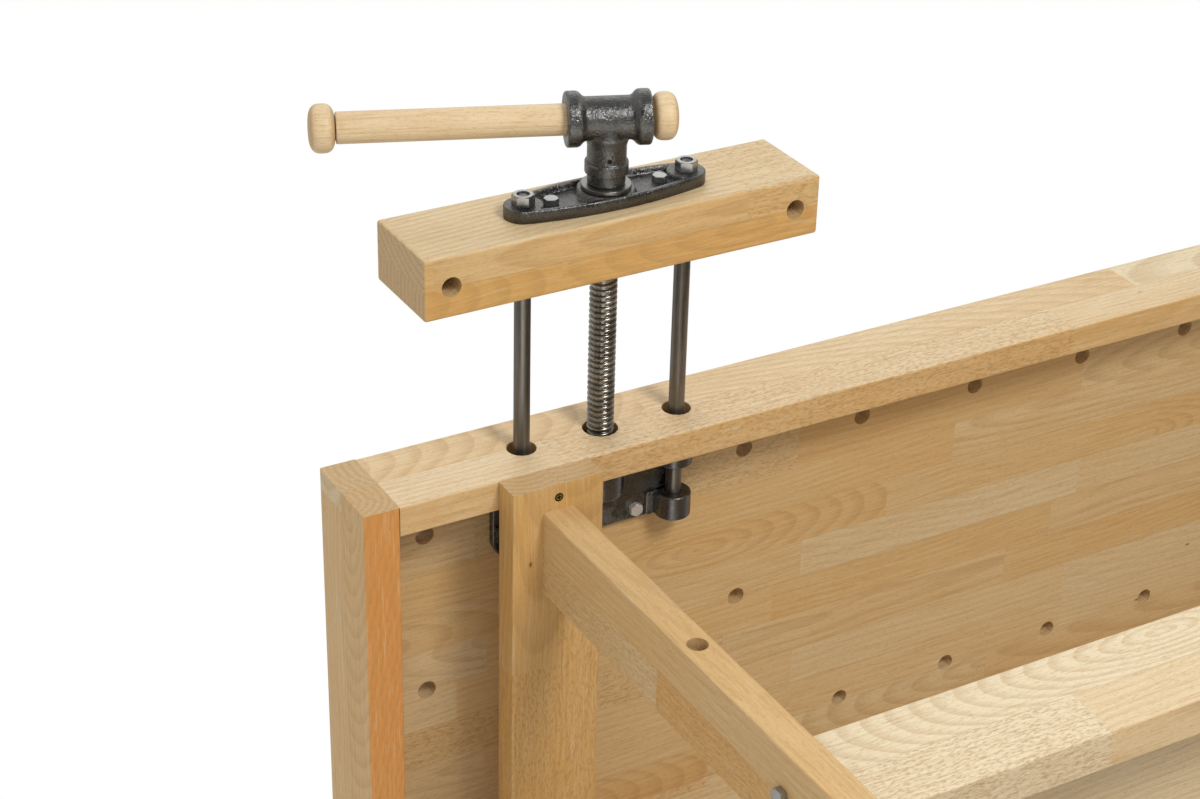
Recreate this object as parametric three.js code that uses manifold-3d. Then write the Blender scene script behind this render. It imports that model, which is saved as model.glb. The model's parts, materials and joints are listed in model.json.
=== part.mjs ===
// A joiner's bench with a front vise and a tail vise, in millimetres, +Z up, its front towards -Y.
// Bench sizes count X from the left end, Y from the front face and Z from the floor.
import * as THREE from "three";
import { RoundedBoxGeometry } from "three/addons/geometries/RoundedBoxGeometry.js";
import { mergeVertices } from "three/addons/utils/BufferGeometryUtils.js";
import Module from "manifold-3d";

const wasm = await Module();
wasm.setup();

// Bench top
const benchLength = 1500;
const benchDepth = 530;
const benchHeight = 850;
const rimHeight = 100;
const panelThickness = 36;
const apronThickness = 32.25;
const endCapThickness = 37;
const boardEdgeRadius = 2;

// Dog holes: the rows along the bench line up with the holes in the tail vise's jaw
const dogHoleDiameter = 20;
const dogPitch = 148;
const dogRowEndMargin = 250;

// Trestles and stretchers
const trestleInset = 188;
const bearerWidth = 97;
const bearerThickness = 30.5;
const footWidth = 97;
const footHeight = 45;
const legWidth = 33.5;
const legDepth = 90;
const legInset = 27;
const legHoleHeight = 467;
const stretcherThickness = 40;
const stretcherHeight = 114;
const stretcherTop = 338;
const stretcherBoltDrop = 37;
const stretcherBoltDiameter = 8;
const stretcherBoltGrip = 60;
const stretcherBoltHeadWidth = 17;
const stretcherBoltHeadHeight = 6;
const shelfThickness = 18;
const shelfDrop = 14;
const shelfHousing = 8;

// Vise placing
const frontViseX = 275;
const frontOpening = 185;
const tailOpening = 60;
const screwDrop = 54;
const frontHandleTurn = 21;
const tailHandleTurn = -70;

// Vise jaw, with everything that slides with it
const jawLength = 420;
const jawThickness = 61;
const jawEdgeRadius = 3;
const jawDogSpacing = 366;
const rodSpacing = 174;
const rodDiameter = 16;
const rodReach = 303;
const rodThreadDiameter = 12;
const nutWidth = 19;
const nutHeight = 10;
const nutEndRecess = 1.5;
const plateThickness = 12;
const plateEndRadius = 18.5;
const plateHalfHeight = 28.5;
const plateRim = 4.5;
const platePocketDepth = 6;
const plateBossRadius = 28;
const plateBoltSpacing = 116;
const plateBoltDiameter = 8;
const plateBoltLength = 34;
const plateBoltHeadWidth = 13;
const plateBoltHeadHeight = 6;

// Screw, cross head and handle
const screwDiameter = 27;
const screwReach = 265;
const shankDiameter = 22;
const shankInHead = 40;
const collarDiameter = 40;
const collarThickness = 8;
const washerDiameter = 48;
const washerThickness = 4;
const neckDiameter = 36;
const neckLength = 11;
const bandDiameter = 41;
const bandLength = 11;
const stemDiameter = 37;
const headHeight = 64;
const tubeDiameter = 41;
const tubeLength = 79;
const tubeCollarDiameter = 52;
const tubeCollarWidth = 12;
const castFillet = 3;
const pinDiameter = 5;
const pinLength = 32;
const pinRise = 6;
const barDiameter = 29.5;
const barLength = 288;
const knobDiameter = 45;
const knobWidth = 25;
const knobRounding = 8;
const knobTenonDiameter = 18;
const knobTenonLength = 17;

// Guide casting under the panel
const castingPlateThickness = 7;
const castingPlateReach = 90;
const castingWingReach = 112.5;
const castingPlateLength = 91.8;
const wingCornerWidth = 7;
const wingCornerLength = 13.5;
const bushDiameter = 37;
const nearBushLength = 28.8;
const bushGap = 34;
const farBushLength = 26.5;
const bushFootWidth = 27.5;
const bushFootThickness = 12;
const nutBossDiameter = 50;
const nutBossLength = 39.3;
const castingBoltSpacing = 97;
const castingBoltSetback = 12.5;
const castingBoltDiameter = 8;
const castingBoltLength = 25;
const castingBoltHeadWidth = 13;
const castingBoltHeadHeight = 6;

// Fits
const seatGap = 0.3;
const runningGap = 0.5;
const boltGap = 0.4;
const railRodGap = 7;
const railScrewGap = 4.5;
const shaftChamfer = 1.5;
const cutOverrun = 10;
const weldTolerance = 1e-4;

// Facets
const edgeFacets = 2;
const roundFacets = 24;
const holeFacets = 16;
const boltFacets = 10;
const cornerFacets = 3;
const hexSides = 6;

// Heights and places that follow from the sizes
const underRim = benchHeight - rimHeight;
const underBearer = underRim - bearerThickness;
const screwHeight = benchHeight - screwDrop;
const middleY = benchDepth / 2;
const rodX = rodSpacing / 2;
const stretcherInset = legInset + legDepth / 2;
const stretcherBoltHeight = stretcherTop - stretcherBoltDrop;
const shelfHeight = stretcherTop - shelfDrop - shelfThickness / 2;
const plateBack = -jawThickness - seatGap;
const plateFace = plateBack - plateThickness;
const pocketFloor = plateFace + platePocketDepth;
const washerFace = plateFace - seatGap - washerThickness;
const headBase = washerFace - seatGap;
const tubeAxis = headBase - headHeight;
const castingBack = screwDrop - panelThickness - seatGap;
const castingLength = nearBushLength + bushGap + farBushLength;

const finish = {
  beech: { color: 0xd8b684, roughness: 0.55, metalness: 0 },
  handleWood: { color: 0xe3c897, roughness: 0.5, metalness: 0 },
  castIron: { color: 0x2c2c2e, roughness: 0.5, metalness: 0.6 },
  steel: { color: 0x77787a, roughness: 0.35, metalness: 1 },
  zinc: { color: 0xc6c9cc, roughness: 0.3, metalness: 1 },
};

const turnTo = {
  x: new THREE.Matrix4().makeBasis(unit(0, 1, 0), unit(0, 0, 1), unit(1, 0, 0)),
  y: new THREE.Matrix4().makeBasis(unit(0, 0, 1), unit(1, 0, 0), unit(0, 1, 0)),
  z: new THREE.Matrix4(),
};

function unit(x, y, z) {
  return new THREE.Vector3(x, y, z);
}

function solidOf(geometry) {
  const bare = geometry.index ? geometry.toNonIndexed() : geometry.clone();
  bare.deleteAttribute("normal");
  bare.deleteAttribute("uv");
  const merged = mergeVertices(bare, weldTolerance);
  const vertProperties = merged.attributes.position.array;
  const triVerts = new Uint32Array(merged.index.array);
  return new wasm.Manifold(new wasm.Mesh({ numProp: 3, vertProperties, triVerts }));
}

function geometryOf(solid) {
  const mesh = solid.getMesh();
  const geometry = new THREE.BufferGeometry();
  geometry.setAttribute("position", new THREE.BufferAttribute(mesh.vertProperties, 3));
  return geometry.setIndex(new THREE.BufferAttribute(mesh.triVerts, 1));
}

function joined(geometries) {
  return geometryOf(geometries.map(solidOf).reduce((sum, solid) => sum.add(solid)));
}

function cut(geometry, tools) {
  return geometryOf(tools.map(solidOf).reduce((left, tool) => left.subtract(tool), solidOf(geometry)));
}

// A drill of the given length, centred at a point, along an axis
function drill(diameter, length, along, x, y, z) {
  return rod(diameter, length, along, holeFacets).translate(x, y, z);
}

function boltDrill(diameter, length, along, x, y, z) {
  return rod(diameter + 2 * boltGap, length, along, boltFacets).translate(x, y, z);
}

function rod(diameter, length, along, facets) {
  const cylinder = new THREE.CylinderGeometry(diameter / 2, diameter / 2, length, facets);
  cylinder.rotateX(Math.PI / 2);
  return cylinder.applyMatrix4(turnTo[along]);
}

// A board centred at the origin, with its long edges rounded and its ends sawn square
function board(sizeX, sizeY, sizeZ, along) {
  const sections = {
    x: [sizeY, sizeZ, sizeX],
    y: [sizeZ, sizeX, sizeY],
    z: [sizeX, sizeY, sizeZ],
  };
  const [width, height, length] = sections[along];
  const x = width / 2 - boardEdgeRadius;
  const y = height / 2 - boardEdgeRadius;
  const section = new THREE.Shape();
  section.absarc(x, y, boardEdgeRadius, 0, Math.PI / 2);
  section.absarc(-x, y, boardEdgeRadius, Math.PI / 2, Math.PI);
  section.absarc(-x, -y, boardEdgeRadius, Math.PI, 1.5 * Math.PI);
  section.absarc(x, -y, boardEdgeRadius, 1.5 * Math.PI, 2 * Math.PI);
  const settings = { depth: length, bevelEnabled: false, curveSegments: edgeFacets };
  const geometry = new THREE.ExtrudeGeometry(section, settings);
  return geometry.translate(0, 0, -length / 2).applyMatrix4(turnTo[along]);
}

// A turned solid about Y, from pairs of radius and y in rising y
function turned(profile, facets = roundFacets) {
  const points = profile.map(([radius, y]) => new THREE.Vector2(radius, y));
  return new THREE.LatheGeometry(points, facets);
}

// A ring about Y from low y to high y
function ring(innerDiameter, outerDiameter, low, high) {
  const inner = innerDiameter / 2;
  const outer = outerDiameter / 2;
  return turned([[inner, low], [outer, low], [outer, high], [inner, high], [inner, low]]);
}

// A hexagonal head or nut along Y from y = 0 to y = -height, its outer corners turned off
function hexagon(width, height) {
  const corner = width / Math.sqrt(3);
  const prism = new THREE.CylinderGeometry(corner, corner, height, hexSides);
  prism.translate(0, -height / 2, 0);
  const cornerDrop = (corner - width / 2) / 2;
  const turning = turned([
    [0, -height],
    [width / 2, -height],
    [corner + cornerDrop, cornerDrop * 2 - height],
    [corner + cornerDrop, height],
    [0, height],
  ], holeFacets);
  return geometryOf(solidOf(prism).intersect(solidOf(turning)));
}

// A hexagon bolt along Y: its head is on the -Y side of y = 0 and its shank runs to +length
function hexBolt(headWidth, headHeight, diameter, length) {
  const shank = turned([
    [0, -headHeight / 2],
    [diameter / 2, -headHeight / 2],
    [diameter / 2, length - shaftChamfer],
    [diameter / 2 - shaftChamfer, length],
    [0, length],
  ], boltFacets);
  return joined([hexagon(headWidth, headHeight), shank]);
}

function piece(group, name, look, geometry, x = 0, y = 0, z = 0) {
  const mesh = new THREE.Mesh(geometry, new THREE.MeshStandardMaterial(finish[look]));
  mesh.name = name;
  mesh.position.set(x, y, z);
  group.add(mesh);
  return mesh;
}

// Places of a vise's parts on the bench, from its own frame: x across, y into the bench, z up
const frontPlace = new THREE.Matrix4().makeTranslation(frontViseX, 0, screwHeight);
const tailPlace = new THREE.Matrix4()
  .makeTranslation(benchLength, middleY, screwHeight)
  .multiply(new THREE.Matrix4().makeBasis(unit(0, 1, 0), unit(-1, 0, 0), unit(0, 0, 1)));

function viseBolts(railThickness) {
  const y = railThickness + seatGap + castingPlateLength - castingBoltSetback;
  return [-castingBoltSpacing / 2, castingBoltSpacing / 2].map((x) => unit(x, y, castingBack));
}

// Dog holes as pairs of X and Y
function dogHoles() {
  const columns = [frontViseX - jawDogSpacing / 2, frontViseX + jawDogSpacing / 2];
  const holes = columns.map((x) => [x, middleY]);
  for (const y of [middleY - jawDogSpacing / 2, middleY + jawDogSpacing / 2]) {
    holes.push([columns[0], y]);
    for (let x = columns[1]; x < benchLength - dogRowEndMargin; x += dogPitch) {
      holes.push([x, y]);
    }
  }
  return holes;
}

// Holes for a vise's rods and screw through the apron or end cap that it closes against
function railDrills(railThickness, place) {
  const length = railThickness + 2 * cutOverrun;
  const bores = [-rodX, rodX].map((x) => [x, rodDiameter + 2 * railRodGap]);
  bores.push([0, screwDiameter + 2 * railScrewGap]);
  return bores.map(([x, diameter]) =>
    drill(diameter, length, "y", x, railThickness / 2, 0).applyMatrix4(place));
}

function benchTop(bench) {
  const panelLength = benchLength - 2 * endCapThickness;
  const panelDepth = benchDepth - 2 * apronThickness;
  const middleX = benchLength / 2;
  const rimMiddle = benchHeight - rimHeight / 2;
  const panelMiddle = benchHeight - panelThickness / 2;

  const panelDrills = dogHoles().map(([x, y]) =>
    drill(dogHoleDiameter, panelThickness + 2 * cutOverrun, "z", x, y, panelMiddle));
  const vises = [[apronThickness, frontPlace], [endCapThickness, tailPlace]];
  for (const [railThickness, place] of vises) {
    for (const point of viseBolts(railThickness)) {
      const depth = 2 * (castingBoltLength + boltGap);
      const hole = boltDrill(castingBoltDiameter, depth, "z", point.x, point.y, point.z);
      panelDrills.push(hole.applyMatrix4(place));
    }
  }
  const panel = new THREE.BoxGeometry(panelLength, panelDepth, panelThickness);
  piece(bench, "top_panel", "beech", cut(panel.translate(middleX, middleY, panelMiddle), panelDrills));

  const frontApron = board(panelLength, apronThickness, rimHeight, "x");
  frontApron.translate(middleX, apronThickness / 2, rimMiddle);
  piece(bench, "front_apron", "beech", cut(frontApron, railDrills(apronThickness, frontPlace)));
  const rearApron = board(panelLength, apronThickness, rimHeight, "x");
  piece(bench, "rear_apron", "beech", rearApron, middleX, benchDepth - apronThickness / 2, rimMiddle);

  const leftCap = board(endCapThickness, benchDepth, rimHeight, "y");
  piece(bench, "left_end_cap", "beech", leftCap, endCapThickness / 2, middleY, rimMiddle);
  const rightCap = board(endCapThickness, benchDepth, rimHeight, "y");
  rightCap.translate(benchLength - endCapThickness / 2, middleY, rimMiddle);
  piece(bench, "right_end_cap", "beech", cut(rightCap, railDrills(endCapThickness, tailPlace)));
}

// The two trestles, with the long bolts that draw the stretchers against their legs
function trestles(bench) {
  const legLength = underBearer - footHeight;
  const legMiddle = footHeight + legLength / 2;
  const boltLength = legWidth + stretcherBoltGrip;
  const sides = [["left", trestleInset, 1], ["right", benchLength - trestleInset, -1]];
  const rows = [["front", stretcherInset], ["rear", benchDepth - stretcherInset]];
  for (const [side, x, inward] of sides) {
    const bearer = board(bearerWidth, benchDepth, bearerThickness, "y");
    piece(bench, `${side}_bearer`, "beech", bearer, x, middleY, underRim - bearerThickness / 2);
    const foot = board(footWidth, benchDepth, footHeight, "y");
    piece(bench, `${side}_foot`, "beech", foot, x, middleY, footHeight / 2);
    for (const [row, y] of rows) {
      const drills = [boltDrill(stretcherBoltDiameter, legWidth + cutOverrun, "x", x, y, stretcherBoltHeight)];
      if (row === "front") {
        drills.push(drill(dogHoleDiameter, legDepth + cutOverrun, "y", x, y, legHoleHeight));
      }
      const leg = board(legWidth, legDepth, legLength, "z").translate(x, y, legMiddle);
      piece(bench, `${side}_${row}_leg`, "beech", cut(leg, drills));
      const bolt = hexBolt(stretcherBoltHeadWidth, stretcherBoltHeadHeight, stretcherBoltDiameter, boltLength);
      bolt.rotateZ(-inward * Math.PI / 2);
      const outerFace = x - inward * (legWidth / 2 + seatGap);
      piece(bench, `${side}_${row}_stretcher_bolt`, "zinc", bolt, outerFace, y, stretcherBoltHeight);
    }
  }
}

// The two stretchers, and the shelf housed in a groove along the inner face of each
function stretchers(bench) {
  const length = benchLength - 2 * trestleInset - legWidth;
  const shelfDepth = benchDepth - 2 * stretcherInset - stretcherThickness + 2 * shelfHousing;
  const x = benchLength / 2;
  const z = stretcherTop - stretcherHeight / 2;
  const boltDepth = 2 * (stretcherBoltGrip + boltGap);
  const groove = new THREE.BoxGeometry(length + cutOverrun, shelfDepth + 2 * seatGap, shelfThickness + 2 * seatGap)
    .translate(x, middleY, shelfHeight);
  for (const [row, y] of [["front", stretcherInset], ["rear", benchDepth - stretcherInset]]) {
    const bores = [-length / 2, length / 2].map((end) =>
      boltDrill(stretcherBoltDiameter, boltDepth, "x", x + end, y, stretcherBoltHeight));
    const rail = board(length, stretcherThickness, stretcherHeight, "x").translate(x, y, z);
    piece(bench, `${row}_stretcher`, "beech", cut(rail, [...bores, groove]));
  }
  const shelf = board(length - 2 * seatGap, shelfDepth, shelfThickness, "x");
  piece(bench, "lower_shelf", "beech", shelf, x, middleY, shelfHeight);
}

// The jaw plate's outline: round ends about the rods and long bowed sides that meet them smoothly
function plateOutline(inset) {
  const end = plateEndRadius - inset;
  const half = plateHalfHeight - inset;
  const bow = (rodX * rodX + half * half - end * end) / (2 * (half - end));
  const meeting = Math.atan2(bow - half, rodX);
  const outline = new THREE.Shape();
  outline.absarc(rodX, 0, end, -meeting, meeting);
  outline.absarc(0, half - bow, bow, meeting, Math.PI - meeting);
  outline.absarc(-rodX, 0, end, Math.PI - meeting, Math.PI + meeting);
  outline.absarc(0, bow - half, bow, Math.PI + meeting, 2 * Math.PI - meeting);
  return outline;
}

function plateSlab(inset, low, high) {
  const settings = { depth: high - low, bevelEnabled: false, curveSegments: cornerFacets * 2 };
  const slab = new THREE.ExtrudeGeometry(plateOutline(inset), settings);
  return slab.rotateX(Math.PI / 2).translate(0, high, 0);
}

function jawPlate() {
  const pocketHeight = 2 * platePocketDepth;
  const pocketMiddle = pocketFloor - pocketHeight / 2;
  const islands = [drill(2 * plateBossRadius, pocketHeight, "y", 0, pocketMiddle, 0)];
  for (const x of [-rodX, rodX]) {
    islands.push(drill(2 * plateEndRadius, pocketHeight, "y", x, pocketMiddle, 0));
  }
  const pockets = cut(plateSlab(plateRim, pocketFloor - pocketHeight, pocketFloor), islands);
  const middle = (plateBack + plateFace) / 2;
  const through = plateThickness + cutOverrun;
  const tools = [pockets, drill(shankDiameter + 2 * runningGap, through, "y", 0, middle, 0)];
  for (const side of [-1, 1]) {
    tools.push(boltDrill(rodThreadDiameter, through, "y", side * rodX, middle, 0));
    tools.push(boltDrill(plateBoltDiameter, through, "y", side * plateBoltSpacing / 2, middle, 0));
  }
  return cut(plateSlab(0, plateFace, plateBack), tools);
}

function jawBlock() {
  const z = screwDrop - rimHeight / 2;
  const block = new RoundedBoxGeometry(jawLength, jawThickness, rimHeight, edgeFacets, jawEdgeRadius);
  block.translate(0, -jawThickness / 2, z);
  const through = jawThickness + cutOverrun;
  const middle = -jawThickness / 2;
  const collarSeat = collarDiameter + 2 * runningGap;
  const collarDepth = collarThickness + 3 * seatGap;
  const tools = [
    drill(screwDiameter + 2 * runningGap, through, "y", 0, middle, 0),
    drill(collarSeat, 2 * collarDepth, "y", 0, -jawThickness, 0),
  ];
  const boltDepth = plateBoltLength + boltGap - (plateBack - pocketFloor);
  for (const side of [-1, 1]) {
    tools.push(drill(rodDiameter + 2 * runningGap, through, "y", side * rodX, middle, 0));
    const boltX = side * plateBoltSpacing / 2;
    tools.push(boltDrill(plateBoltDiameter, 2 * boltDepth, "y", boltX, -jawThickness, 0));
    tools.push(drill(dogHoleDiameter, rimHeight + cutOverrun, "z", side * jawDogSpacing / 2, middle, z));
  }
  return cut(block, tools);
}

function guideRod() {
  const tip = plateFace - seatGap - nutHeight + nutEndRecess;
  const shoulder = plateBack + seatGap;
  const radius = rodDiameter / 2;
  return turned([
    [0, tip],
    [rodThreadDiameter / 2, tip],
    [rodThreadDiameter / 2, shoulder],
    [radius, shoulder],
    [radius, rodReach - shaftChamfer],
    [radius - shaftChamfer, rodReach],
    [0, rodReach],
  ]);
}

function rodNut() {
  const bore = boltDrill(rodThreadDiameter, 2 * nutHeight + cutOverrun, "y", 0, 0, 0);
  return cut(hexagon(nutWidth, nutHeight), [bore]);
}

function screwBody() {
  const shoulder = plateBack + collarThickness + 2 * seatGap;
  const tip = headBase - shankInHead;
  const radius = screwDiameter / 2;
  const screw = turned([
    [0, tip],
    [shankDiameter / 2, tip],
    [shankDiameter / 2, shoulder],
    [radius, shoulder],
    [radius, screwReach - shaftChamfer],
    [radius - shaftChamfer, screwReach],
    [0, screwReach],
  ]);
  return cut(screw, [pinDrill()]);
}

function pinHeight() {
  return headBase - neckLength - bandLength - pinRise;
}

function pinDrill() {
  return boltDrill(pinDiameter, 2 * stemDiameter, "z", 0, pinHeight(), 0);
}

// The cast head: a stem over the screw's shank and a tube across it for the handle
function crossHead() {
  const stem = turned([
    [0, tubeAxis],
    [stemDiameter / 2, tubeAxis],
    [stemDiameter / 2, headBase - neckLength - bandLength],
    [bandDiameter / 2, headBase - neckLength - bandLength + castFillet / 2],
    [bandDiameter / 2, headBase - neckLength - castFillet / 2],
    [neckDiameter / 2, headBase - neckLength],
    [neckDiameter / 2, headBase],
    [0, headBase],
  ]);
  const collar = tubeCollarDiameter / 2;
  const tube = tubeDiameter / 2;
  const end = tubeLength / 2;
  const inner = end - tubeCollarWidth;
  const edge = castFillet / 2;
  const barrel = turned([
    [0, -end],
    [collar - edge, -end],
    [collar, edge - end],
    [collar, -inner - edge],
    [collar - edge, -inner],
    [tube, castFillet - inner],
    [tube, inner - castFillet],
    [collar - edge, inner],
    [collar, inner + edge],
    [collar, end - edge],
    [collar - edge, end],
    [0, end],
  ]);
  barrel.rotateZ(-Math.PI / 2).translate(0, tubeAxis, 0);
  const shankDepth = 2 * (shankInHead + boltGap);
  const tools = [
    drill(barDiameter + 2 * boltGap, tubeLength + cutOverrun, "x", 0, tubeAxis, 0),
    drill(shankDiameter + 2 * boltGap, shankDepth, "y", 0, headBase, 0),
    pinDrill(),
  ];
  return cut(joined([stem, barrel]), tools);
}

// The handle's bar about Y from y = 0 to y = barLength, with a tenon for a knob at each end
function handleBar() {
  const bar = barDiameter / 2;
  const tenon = knobTenonDiameter / 2;
  return turned([
    [0, -knobTenonLength],
    [tenon, -knobTenonLength],
    [tenon, 0],
    [bar, 0],
    [bar, barLength],
    [tenon, barLength],
    [tenon, barLength + knobTenonLength],
    [0, barLength + knobTenonLength],
  ]);
}

// A knob about Y whose inner face is at y = 0 and which stands on its +Y side
function handleKnob() {
  const radius = knobDiameter / 2 - knobRounding;
  const socket = knobTenonDiameter / 2 + boltGap;
  const socketDepth = knobTenonLength + boltGap;
  const corners = [];
  for (let step = -cornerFacets; step <= cornerFacets; step += 1) {
    const angle = (step / cornerFacets) * (Math.PI / 2);
    const middle = step < 0 ? knobRounding : knobWidth - knobRounding;
    corners.push([radius + knobRounding * Math.cos(angle), middle + knobRounding * Math.sin(angle)]);
    if (step === 0) {
      corners.splice(-1, 0, [radius + knobRounding, knobRounding]);
    }
  }
  return turned([[0, socketDepth], [socket, socketDepth], [socket, 0], ...corners, [0, knobWidth]]);
}

// The casting's plate, which reaches further on one side and has a corner cut off there
function castingPlate(front) {
  const back = front + castingPlateLength;
  const outline = new THREE.Shape([
    new THREE.Vector2(-castingWingReach, front),
    new THREE.Vector2(castingPlateReach, front),
    new THREE.Vector2(castingPlateReach, back),
    new THREE.Vector2(wingCornerWidth - castingWingReach, back),
    new THREE.Vector2(-castingWingReach, back - wingCornerLength),
  ]);
  const plate = new THREE.ExtrudeGeometry(outline, { depth: castingPlateThickness, bevelEnabled: false });
  return plate.translate(0, 0, castingBack - castingPlateThickness);
}

// The casting screwed under the panel: the screw's nut in the middle and two footed bushes for each rod
function guideCasting(railThickness) {
  const front = railThickness + seatGap;
  const plate = castingPlate(front);
  const boss = rod(nutBossDiameter, nutBossLength, "y", roundFacets).translate(0, front + nutBossLength / 2, 0);
  const parts = [plate, boss];
  const bushes = [[0, nearBushLength], [nearBushLength + bushGap, farBushLength]];
  const footZ = castingBack - bushFootThickness / 2;
  for (const side of [-1, 1]) {
    for (const [start, length] of bushes) {
      const y = front + start + length / 2;
      parts.push(rod(bushDiameter, length, "y", roundFacets).translate(side * rodX, y, 0));
      const foot = new THREE.BoxGeometry(bushFootWidth, length, bushFootThickness);
      parts.push(foot.translate(side * (rodX - bushFootWidth / 2), y, footZ));
    }
  }
  const middle = front + castingLength / 2;
  const through = castingLength + cutOverrun;
  const above = new THREE.BoxGeometry(2 * rodSpacing, 2 * castingLength, bushDiameter + nutBossDiameter);
  above.translate(0, middle, castingBack + (bushDiameter + nutBossDiameter) / 2);
  const tools = [above, drill(screwDiameter + 2 * runningGap, through, "y", 0, middle, 0)];
  for (const x of [-rodX, rodX]) {
    tools.push(drill(rodDiameter + 2 * runningGap, through, "y", x, middle, 0));
  }
  for (const point of viseBolts(railThickness)) {
    tools.push(boltDrill(castingBoltDiameter, 2 * bushDiameter, "z", point.x, point.y, point.z));
  }
  return cut(joined(parts), tools);
}

function vise(bench, name, railThickness, opening, handleTurn, place) {
  const fixed = new THREE.Group();
  fixed.applyMatrix4(place);
  bench.add(fixed);
  piece(fixed, `${name}_guide_casting`, "castIron", guideCasting(railThickness));
  viseBolts(railThickness).forEach((point, index) => {
    const bolt = hexBolt(castingBoltHeadWidth, castingBoltHeadHeight, castingBoltDiameter, castingBoltLength);
    const z = point.z - castingPlateThickness - seatGap;
    piece(fixed, `${name}_casting_bolt_${index + 1}`, "zinc", bolt.rotateX(Math.PI / 2), point.x, point.y, z);
  });

  const moving = new THREE.Group();
  moving.position.y = -opening;
  fixed.add(moving);
  piece(moving, `${name}_jaw`, "beech", jawBlock());
  piece(moving, `${name}_jaw_plate`, "castIron", jawPlate());
  [-1, 1].forEach((side, index) => {
    const number = index + 1;
    piece(moving, `${name}_guide_rod_${number}`, "steel", guideRod(), side * rodX);
    piece(moving, `${name}_rod_nut_${number}`, "zinc", rodNut(), side * rodX, plateFace - seatGap);
    const bolt = hexBolt(plateBoltHeadWidth, plateBoltHeadHeight, plateBoltDiameter, plateBoltLength);
    const boltX = side * plateBoltSpacing / 2;
    piece(moving, `${name}_plate_bolt_${number}`, "zinc", bolt, boltX, pocketFloor - seatGap);
  });

  const turning = new THREE.Group();
  turning.rotation.y = THREE.MathUtils.degToRad(handleTurn);
  moving.add(turning);
  const shankHole = shankDiameter + 2 * boltGap;
  piece(turning, `${name}_screw`, "steel", screwBody());
  const collar = ring(shankHole, collarDiameter, plateBack + seatGap, plateBack + seatGap + collarThickness);
  piece(turning, `${name}_retaining_collar`, "steel", collar);
  const washer = ring(shankHole, washerDiameter, washerFace, washerFace + washerThickness);
  piece(turning, `${name}_thrust_washer`, "zinc", washer);
  piece(turning, `${name}_cross_head`, "castIron", crossHead());
  const pin = rod(pinDiameter, pinLength, "z", boltFacets);
  piece(turning, `${name}_cross_pin`, "steel", pin, 0, pinHeight());

  // The bar lies along the tube with its near knob against the tube's end
  const nearKnob = tubeLength / 2 + seatGap;
  const handle = new THREE.Group();
  handle.position.set(nearKnob, tubeAxis, 0);
  handle.rotation.z = Math.PI / 2;
  turning.add(handle);
  piece(handle, `${name}_handle_bar`, "handleWood", handleBar());
  piece(handle, `${name}_handle_knob_far`, "handleWood", handleKnob(), 0, barLength + seatGap);
  const near = piece(handle, `${name}_handle_knob_near`, "handleWood", handleKnob(), 0, -seatGap);
  near.rotation.x = Math.PI;
}

const bench = new THREE.Group();
benchTop(bench);
trestles(bench);
stretchers(bench);
vise(bench, "front_vise", apronThickness, frontOpening, frontHandleTurn, frontPlace);
vise(bench, "tail_vise", endCapThickness, tailOpening, tailHandleTurn, tailPlace);

// The part's frame has its origin under the middle of the whole box, at floor level
bench.updateMatrixWorld(true);
const box = new THREE.Box3().setFromObject(bench, true);
const middle = box.getCenter(new THREE.Vector3());
bench.position.set(-middle.x, -middle.y, -box.min.z);

const part = new THREE.Group();
part.add(bench);

export default part;
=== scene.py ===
import json
import math

import bpy
import numpy as np
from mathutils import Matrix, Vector

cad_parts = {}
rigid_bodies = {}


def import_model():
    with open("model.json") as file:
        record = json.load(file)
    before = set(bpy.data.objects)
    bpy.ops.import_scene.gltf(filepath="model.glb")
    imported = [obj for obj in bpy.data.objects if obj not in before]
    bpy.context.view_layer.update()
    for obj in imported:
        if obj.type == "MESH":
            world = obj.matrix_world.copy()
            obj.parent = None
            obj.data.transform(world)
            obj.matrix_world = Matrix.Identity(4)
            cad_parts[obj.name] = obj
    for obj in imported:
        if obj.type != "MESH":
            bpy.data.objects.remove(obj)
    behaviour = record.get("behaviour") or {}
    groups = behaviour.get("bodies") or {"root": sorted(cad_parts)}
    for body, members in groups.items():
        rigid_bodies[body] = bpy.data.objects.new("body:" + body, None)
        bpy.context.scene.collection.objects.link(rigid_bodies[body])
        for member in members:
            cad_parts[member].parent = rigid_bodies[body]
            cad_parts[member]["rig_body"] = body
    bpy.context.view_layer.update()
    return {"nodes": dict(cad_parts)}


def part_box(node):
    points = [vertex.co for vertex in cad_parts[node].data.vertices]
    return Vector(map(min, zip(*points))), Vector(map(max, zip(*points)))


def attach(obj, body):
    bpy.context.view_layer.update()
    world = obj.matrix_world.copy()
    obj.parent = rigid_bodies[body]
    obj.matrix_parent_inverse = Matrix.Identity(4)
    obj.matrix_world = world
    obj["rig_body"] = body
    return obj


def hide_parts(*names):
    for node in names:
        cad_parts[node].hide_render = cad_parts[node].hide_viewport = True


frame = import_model()
nodes = frame["nodes"]
mm = 0.001
print("frame loaded:", len(nodes), "nodes")

# fixed places on the bench, all read from the frame
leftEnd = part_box("left_end_cap")[0].x
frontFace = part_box("front_apron")[0].y
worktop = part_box("top_panel")[1].z

axes = dict(zip("xyz", np.eye(3)))
up = axes["z"]
vises = {
    "front_vise": {"outward": np.array([0.0, -1.0, 0.0]), "across": axes["x"]},
    "tail_vise": {"outward": axes["x"], "across": axes["y"]},
}


def middleOf(node):
    low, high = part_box(node)
    return np.array((low + high) / 2)


# how far a node reaches along a straight direction, nearest and furthest
def reachOf(node, direction):
    low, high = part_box(node)
    return sorted((float(np.dot(low, direction)), float(np.dot(high, direction))))


# a node's middle, moved along a direction to the given reach
def pointAt(node, direction, reach):
    middle = middleOf(node)
    return middle + direction * (reach - np.dot(middle, direction))


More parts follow.
